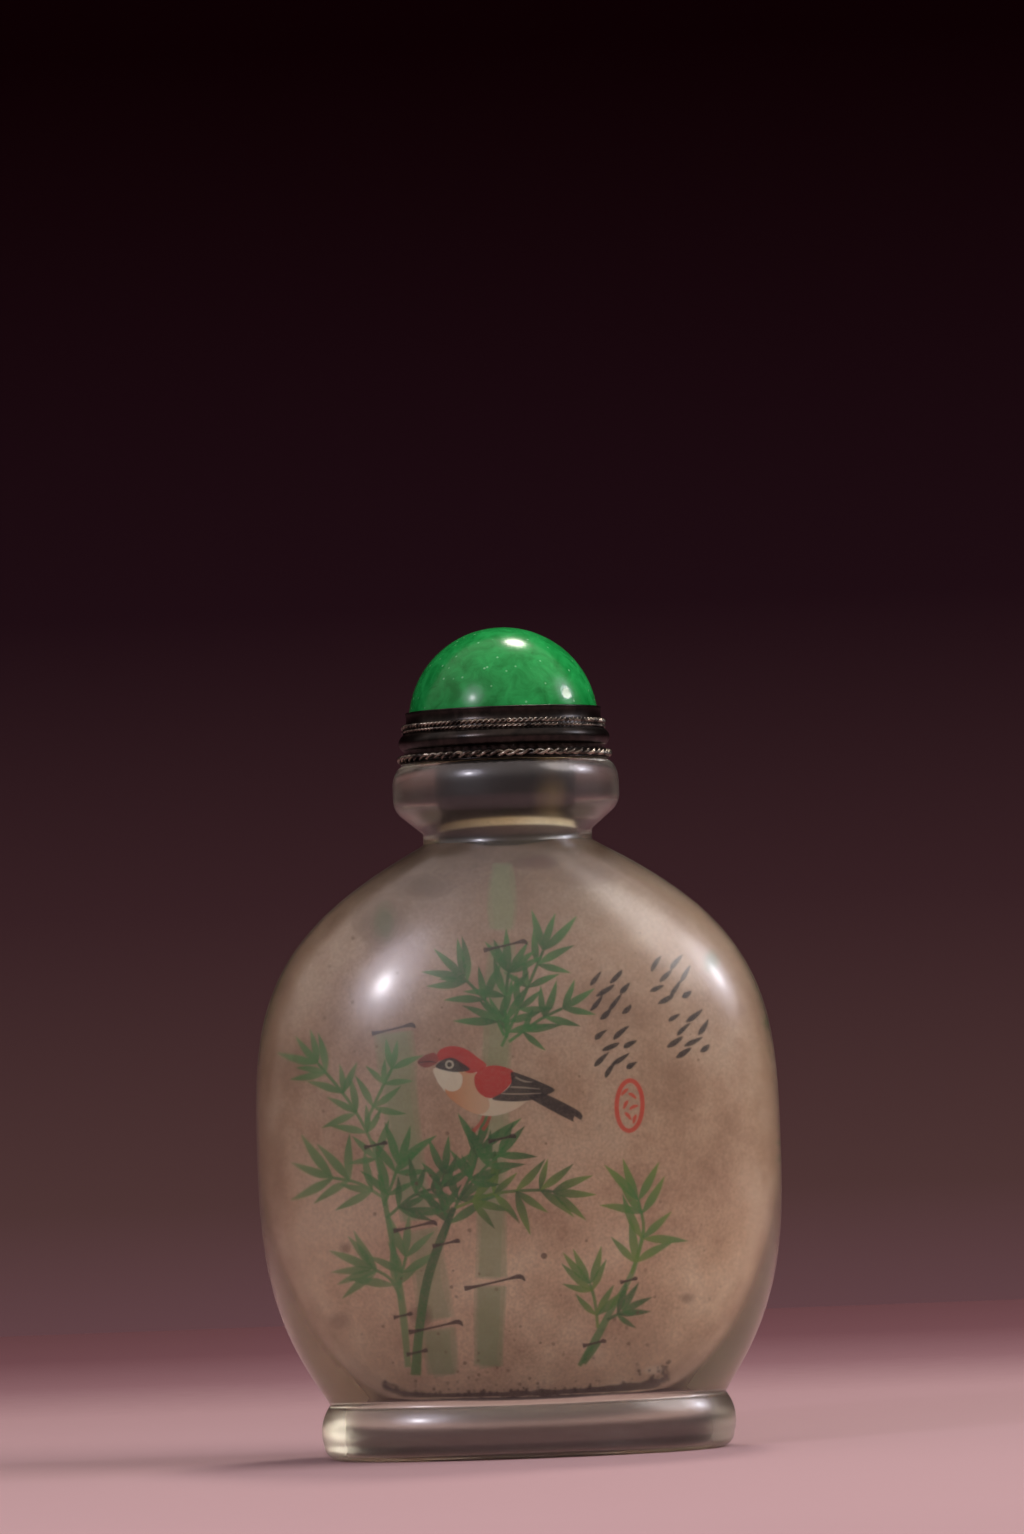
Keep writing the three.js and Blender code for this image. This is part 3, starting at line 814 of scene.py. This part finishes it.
for strokes, side in ((front_strokes, -1), (back_strokes, 1)):
    wall_faces, wall_tints = painted_wall(strokes, side, wall_levels, first_wall_row, points)
    faces += wall_faces
    tints += wall_tints
    grounded += [True] * len(wall_faces)
bottle = mesh_piece("bottle_glass", points, faces, "clear_glass", soda_lime_glass(),
                    painted_ground_glass())
bottle.data.polygons.foreach_set("material_index", [int(ground) for ground in grounded])
layer = bottle.data.color_attributes.new("painting", "FLOAT_COLOR", "CORNER")
layer.data.foreach_set("color", [value for face in tints for corner in face for value in corner])
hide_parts("glass_bottle")


# The cork: a plug cut from cork bark and glued under the stopper's plate, brown with age. It
# stands in the mouth of the bottle, a loose fit in the bore.
CORK_RADIUS = BORE_RADIUS - 0.1
CORK_LENGTH = 4.1
CORK_TAPER = 0.15
CORK_EDGE = 0.25
PIT_SPACING = 0.8
PIT_SHARE = 0.012


# Aged cork bark: brown and dull, with darker pores that leave pits in the cut side
def cork_bark():
    material = new_material("cork_bark")
    place = add_node(material, "TexCoord").outputs["Object"]
    grain = add_node(material, "TexNoise", {
        "Vector": place, "Scale": 1 / (1.2 * MM), "Detail": 6.0, "Roughness": 0.7})
    tone = add_node(material, "ValToRGB", {"Fac": grain},
                    stops=((0.38, "2c1b10"), (0.62, "8a6442")))
    pits = add_node(material, "Bump", {
        "Height": grain, "Strength": 0.5, "Distance": 0.1 * MM})
    shader = add_node(material, "BsdfPrincipled", {
        "Base Color": tone, "Roughness": 0.85, "Normal": pits})
    add_node(material, "OutputMaterial", {"Surface": shader})
    return material


def turned_skin(levels, facets):
    """Points and faces of a round piece, from the radius and height of each level."""
    return skin_over([(radius, radius, height, 2) for radius, height in levels], facets)


cork_bottom = LIP_TOP - CORK_LENGTH
cork_levels = [
    (0, cork_bottom), (CORK_RADIUS - CORK_TAPER - CORK_EDGE, cork_bottom),
    (CORK_RADIUS - CORK_TAPER - 0.08, cork_bottom + 0.08),
    (CORK_RADIUS - CORK_TAPER, cork_bottom + CORK_EDGE)]
for step in range(1, 11):
    share = step / 10
    cork_levels.append((mix(CORK_RADIUS - CORK_TAPER, CORK_RADIUS, share),
                        mix(cork_bottom + CORK_EDGE, LIP_TOP, share)))
cork_levels.append((0, LIP_TOP))
points, faces = turned_skin(cork_levels, 72)
for i, point in enumerate(points[:-2]):
    hollow = 1 - PIT_SHARE * (1 + noise.noise(point / (PIT_SPACING * MM)))
    points[i] = Vector((point.x * hollow, point.y * hollow, point.z))
cork = mesh_piece("cork_plug", points, faces, "cork", cork_bark())
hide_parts("stopper_cork")


# The collar: a cup of thin silver alloy that holds the stone, worked from sheet, with a swelling
# band beaten out of its wall and three rings of twisted wire soldered round it.
COLLAR_BOTTOM = 67.05
COLLAR_TOP = 72.1
PLATE_TOP = 67.75
CUP_RADIUS = 9.28
COLLAR_RADIUS = 9.78
PLATE_RADIUS = 10.15
RIM_RADIUS = 9.53
RIM_BOTTOM = 70.95
RIM_STEP = 70.5
SWELL_LOW, SWELL_HIGH = 68.35, 69.95
SWELL_DEPTH = 0.5


# Tarnished silver alloy: nearly black where the tarnish lies, warm grey where hands have rubbed
# it, so it shows thin sharp lights on the edges and wires. The coat is the tarnish's own skin.
def tarnished_silver(name, dark, rubbed, roughness):
    material = new_material(name)
    place = add_node(material, "TexCoord").outputs["Object"]
    darkening = add_node(material, "TexNoise", {
        "Vector": place, "Scale": 1 / (1.6 * MM), "Detail": 6.0, "Roughness": 0.65})
    tone = add_node(material, "ValToRGB", {"Fac": darkening}, stops=((0.42, dark), (0.68, rubbed)))
    dull = add_node(material, "MapRange", {
        "Value": darkening, "From Min": 0.35, "From Max": 0.7, "To Min": roughness + 0.16, "To Max": roughness})
    dents = add_node(material, "Bump", {
        "Height": darkening, "Strength": 0.12, "Distance": 0.08 * MM})
    shader = add_node(material, "BsdfPrincipled", {
        "Base Color": tone, "Metallic": 1.0, "Roughness": dull,
        "Coat Weight": 0.15, "Coat Roughness": 0.22, "Coat IOR": 1.9, "Normal": dents})
    add_node(material, "OutputMaterial", {"Surface": shader})
    return material


def collar_outline():
    """Radius and height along the cup: under its plate, up outside, over the rim, down inside."""
    outline = [(0, COLLAR_BOTTOM), (PLATE_RADIUS - 0.2, COLLAR_BOTTOM),
               (PLATE_RADIUS - 0.03, COLLAR_BOTTOM + 0.04), (PLATE_RADIUS, COLLAR_BOTTOM + 0.1),
               (PLATE_RADIUS - 0.1, COLLAR_BOTTOM + 0.16), (COLLAR_RADIUS, COLLAR_BOTTOM + 0.3),
               (COLLAR_RADIUS, SWELL_LOW)]
    for step in range(1, 20):
        share = step / 20
        outline.append((COLLAR_RADIUS + SWELL_DEPTH * math.sin(math.pi * share) ** 0.7,
                        mix(SWELL_LOW, SWELL_HIGH, share)))
    outline += [(COLLAR_RADIUS, SWELL_HIGH), (COLLAR_RADIUS, RIM_STEP), (RIM_RADIUS + 0.02, RIM_BOTTOM - 0.1),
                (RIM_RADIUS - 0.04, RIM_BOTTOM + 0.2), (RIM_RADIUS - 0.04, COLLAR_TOP - 0.3)]
    for step in range(7):
        turn = math.pi * step / 6
        outline.append((RIM_RADIUS - 0.11 + 0.12 * math.cos(turn), COLLAR_TOP - 0.12 + 0.12 * math.sin(turn)))
    return outline + [(CUP_RADIUS, COLLAR_TOP - 0.3), (CUP_RADIUS, PLATE_TOP), (0, PLATE_TOP)]


def twisted_wire(name, radius, height, thickness, ridge, finish):
    """Two strands twisted together and bent to a ring, with a bump at every ridge length."""
    turns = round(math.pi * radius / ridge)
    strand = thickness / 4
    steps, sides = turns * 10, 8
    points, faces = [], []
    for start in (0, math.pi):
        first = len(points)
        for i in range(steps):
            around = 2 * math.pi * i / steps
            twist = start + turns * around
            for corner in range(sides):
                turn = 2 * math.pi * corner / sides
                out = radius + strand * (math.cos(twist) + math.cos(turn))
                up = height + strand * (math.sin(twist) + math.sin(turn))
                points.append(Vector((out * math.cos(around), out * math.sin(around), up)) * MM)
        for i in range(steps):
            low, high = first + i * sides, first + (i + 1) % steps * sides
            for corner in range(sides):
                after = (corner + 1) % sides
                faces.append((low + corner, high + corner, high + after, low + after))
    mesh_piece(name, points, faces, "tarnished_metal", finish)


points, faces = turned_skin(collar_outline(), 192)
collar = mesh_piece("collar_cup", points, faces, "tarnished_metal",
                    tarnished_silver("tarnished_silver", "120d0a", "302823", 0.3))
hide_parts("stopper_collar")
rubbed_wire = tarnished_silver("rubbed_silver_wire", "1a1410", "b3a897", 0.2)
# Each wire: how far out and how high it runs, how thick it is and the space from bump to bump
for wire in (("wire_lower", 10.13, 67.56, 0.76, 1.0), ("wire_upper", 9.76, 70.66, 0.5, 0.54),
             ("wire_middle", 9.78, 70.2, 0.34, 0.5)):
    twisted_wire(*wire, rubbed_wire)


# The dome: a green stone, sawn flat below, rounded and polished, and set in the cup with a dark
# line of cement. A small chip is missing low on its right side.
DOME_RADIUS = 9.2
DOME_SEAT = 67.83
DOME_MIDDLE = 70.95
CHIP_PLACE = Vector((6.14, -6.34, 2.2)).normalized()
CHIP_RADIUS = 0.62
CHIP_DEPTH = 0.12


# Dyed green stone: even deep green with soft lighter clouds and a few pale grains, under a polish.
# The ragged pale spot at the chip is a painted glint.
def dyed_green_stone():
    material = new_material("dyed_green_stone")
    place = add_node(material, "TexCoord").outputs["Object"]
    clouds = add_node(material, "TexNoise", {
        "Vector": place, "Scale": 1 / (1.8 * MM), "Detail": 5.0, "Roughness": 0.6,
        "Distortion": 0.6})
    tone = add_node(material, "ValToRGB", {"Fac": clouds},
                    stops=((0.34, "0a662a"), (0.7, "1f8a44")))
    grains = add_node(material, "TexVoronoi", {
        "Vector": place, "Scale": 1 / (1.1 * MM), "Randomness": 1.0})
    pale = add_node(material, "MapRange", {
        "Value": grains, "From Min": 0.05, "From Max": 0.14, "To Min": 0.45, "To Max": 0.0})
    colour = add_node(material, "Mix", {
        0: pale, MIX_A: tone, MIX_B: linear("8ccb9e")}, data_type="RGBA")
    # A painted glint: a ragged pale spot on the chip
    chip_spot = (Vector((0, 0, DOME_MIDDLE)) + DOME_RADIUS * CHIP_PLACE) * MM
    off_chip = add_node(material, "VectorMath", {0: place, 1: chip_spot},
                        operation="DISTANCE")
    jagged = add_node(material, "Math", {0: clouds, 1: 1.4 * MM, 2: off_chip.outputs["Value"]},
                      operation="MULTIPLY_ADD")
    chip_glint = add_node(material, "MapRange", {
        "Value": jagged, "From Min": 1.0 * MM, "From Max": 1.25 * MM, "To Min": 0.8, "To Max": 0.0})
    glinted_colour = add_node(material, "Mix", {
        0: chip_glint, MIX_A: colour.outputs[MIX_RESULT], MIX_B: linear("c4ddc8")}, data_type="RGBA")
    pores = add_node(material, "Bump", {
        "Height": pale, "Strength": 0.15, "Distance": 0.03 * MM})
    shader = add_node(material, "BsdfPrincipled", {
        "Base Color": glinted_colour.outputs[MIX_RESULT], "Roughness": 0.2, "IOR": 1.55,
        "Specular IOR Level": 0.22, "Normal": pores})
    add_node(material, "OutputMaterial", {"Surface": shader})
    return material


dome_levels = [(0, DOME_SEAT), (DOME_RADIUS - 0.3, DOME_SEAT), (DOME_RADIUS, DOME_SEAT + 0.3)]
for step in range(72):
    turn = math.pi / 2 * step / 72
    dome_levels.append((DOME_RADIUS * math.cos(turn), DOME_MIDDLE + DOME_RADIUS * math.sin(turn)))
dome_levels.append((0, DOME_MIDDLE + DOME_RADIUS))
points, faces = turned_skin(dome_levels, 240)
for i, point in enumerate(points):
    out = point / MM - Vector((0, 0, DOME_MIDDLE))
    away = (out.normalized() - CHIP_PLACE).length * DOME_RADIUS
    edge = CHIP_RADIUS * (1 + 0.9 * noise.noise(out * 2.1))
    if away < edge:
        depth = CHIP_DEPTH * (1 - away / edge) * (0.6 + 0.9 * abs(noise.noise(out * 5.3)))
        points[i] = point - out.normalized() * depth * MM
dome = mesh_piece("stone_dome", points, faces, "green_stone", dyed_green_stone())
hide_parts("stopper_cabochon")


# Floor and backdrop: a pale dusky sheet on the table with painted shade that darkens it toward
# the back, and behind it a dark wall with painted shade, a little lighter near the table and darker
# with height. These places are in metres.
FLOOR_SIDE = 1.5
FLOOR_NEAR, FLOOR_FAR = -1.2, 0.36
FLOOR_SHADE_START = -0.09
WALL_FAR = 1.7
WALL_SIDE = 3.8
WALL_BOTTOM, WALL_TOP = -1.1, 2.8
WALL_SHADE_BOTTOM, WALL_SHADE_TOP = -0.051, 0.378


def stage_sheet(name, low, high, finish):
    """A flat sheet from its left near or low corner to its right far or high one."""
    mesh = bpy.data.meshes.new(name)
    mesh.from_pydata([low, (high[0], *low[1:]), high, (low[0], *high[1:])], [], [(0, 1, 2, 3)])
    mesh.materials.append(finish)
    made = put_in_scene(name, mesh)


# Matt paper: a dusky rose with no shine, and painted shade that darkens it toward the back, a little unevenly
def matt_paper():
    material = new_material("matt_paper")
    place = add_node(material, "TexCoord").outputs["Object"]
    fibre = add_node(material, "TexNoise", {
        "Vector": place, "Scale": 1 / (3 * MM), "Detail": 4.0})
    depth = add_node(material, "SeparateXYZ", {"Vector": place})
    mottled = add_node(material, "Math", {0: fibre, 1: 20 * MM, 2: depth.outputs["Y"]},
                       operation="MULTIPLY_ADD")
    # Painted shade: the sheet darkens toward the back
    away = add_node(material, "MapRange", {
        "Value": mottled, "From Min": FLOOR_SHADE_START, "From Max": FLOOR_FAR + 0.01})
    tone = add_node(material, "ValToRGB", {"Fac": away}, stops=(
        (0, "9b8184"), (0.24, "957c7f"), (0.44, "8d7376"), (0.61, "705459"), (0.79, "5e4146"), (1, "5b3e42")))
    shader = add_node(material, "BsdfPrincipled", {
        "Base Color": tone, "Roughness": 0.8, "Specular IOR Level": 0.0})
    add_node(material, "OutputMaterial", {"Surface": shader})
    return material


# Dark painted wall: maroon, with painted shade that deepens with height
def maroon_wall():
    material = new_material("maroon_wall")
    place = add_node(material, "TexCoord").outputs["Object"]
    height = add_node(material, "SeparateXYZ", {"Vector": place})
    # Painted shade: lighter near the table, darker with height
    rise = add_node(material, "MapRange", {
        "Value": height.outputs["Z"], "From Min": WALL_SHADE_BOTTOM, "From Max": WALL_SHADE_TOP})
    tone = add_node(material, "ValToRGB", {"Fac": rise}, stops=(
        (0, "97727a"), (0.1, "7a5c5c"), (0.33, "583c42"), (0.56, "341d27"), (1, "190309")))
    shader = add_node(material, "BsdfPrincipled", {
        "Base Color": tone, "Roughness": 0.9, "Specular IOR Level": 0.0})
    add_node(material, "OutputMaterial", {"Surface": shader})
    return material


stage_sheet("floor", (-FLOOR_SIDE, FLOOR_NEAR, 0), (FLOOR_SIDE, FLOOR_FAR, 0), matt_paper())
stage_sheet("backdrop", (-WALL_SIDE, WALL_FAR, WALL_BOTTOM), (WALL_SIDE, WALL_FAR, WALL_TOP), maroon_wall())


# Lights: a soft lamp above, a small lamp with a wide dim glow round it at the front left and at
# the right, a broad panel at the right that no reflection shows, and the room's own light.
AIM_HEIGHT = 45


def area_lamp(name, direction, distance, size, power, colour, in_reflections=True):
    """A round lamp aimed at the bottle from a direction, its distance and size in metres."""
    lamp = bpy.data.lights.new(name, "AREA")
    lamp.shape = "DISK"
    lamp.size = size
    lamp.energy = power
    lamp.color = linear(colour)[:3]
    made = put_in_scene(name, lamp)
    made.visible_glossy = in_reflections
    target = Vector((0, 0, AIM_HEIGHT * MM))
    made.location = target + Vector(direction).normalized() * distance
    made.rotation_euler = (target - made.location).to_track_quat("-Z", "Y").to_euler()


area_lamp("top_lamp", (0.16, 0.35, 0.92), 0.55, 0.12, 1.6, "fff4ea")
area_lamp("left_lamp", (-0.53, -0.63, 0.45), 0.7, 0.035, 0.7, "fbf6ff")
area_lamp("left_glow", (-0.53, -0.63, 0.5), 0.7, 0.3, 0.9, "eee8ff")
area_lamp("right_lamp", (0.87, 0.02, 0.44), 0.6, 0.08, 0.4, "f4f4ff")
area_lamp("right_glow", (0.87, 0.02, 0.46), 0.6, 0.26, 0.6, "f0eeff")
area_lamp("right_panel", (0.8, -0.25, 0.75), 0.8, 0.5, 5.0, "fff4f0", in_reflections=False)

# The room is dim toward the table and brighter toward the ceiling
world = bpy.data.worlds.new("world")
bpy.context.scene.world = world
world.use_nodes = True
toward = add_node(world, "TexCoord").outputs["Generated"]
upward = add_node(world, "SeparateXYZ", {"Vector": toward})
bright = add_node(world, "MapRange", {
    "Value": upward.outputs["Z"], "From Min": -0.1, "From Max": 0.8, "To Min": 0.12, "To Max": 1.2},
    interpolation_type="SMOOTHSTEP")
room = world.node_tree.nodes["Background"]
world.node_tree.links.new(bright.outputs["Result"], room.inputs["Strength"])
room.inputs["Color"].default_value = linear("d6c6c2")
bpy.context.scene.view_settings.view_transform = "Standard"
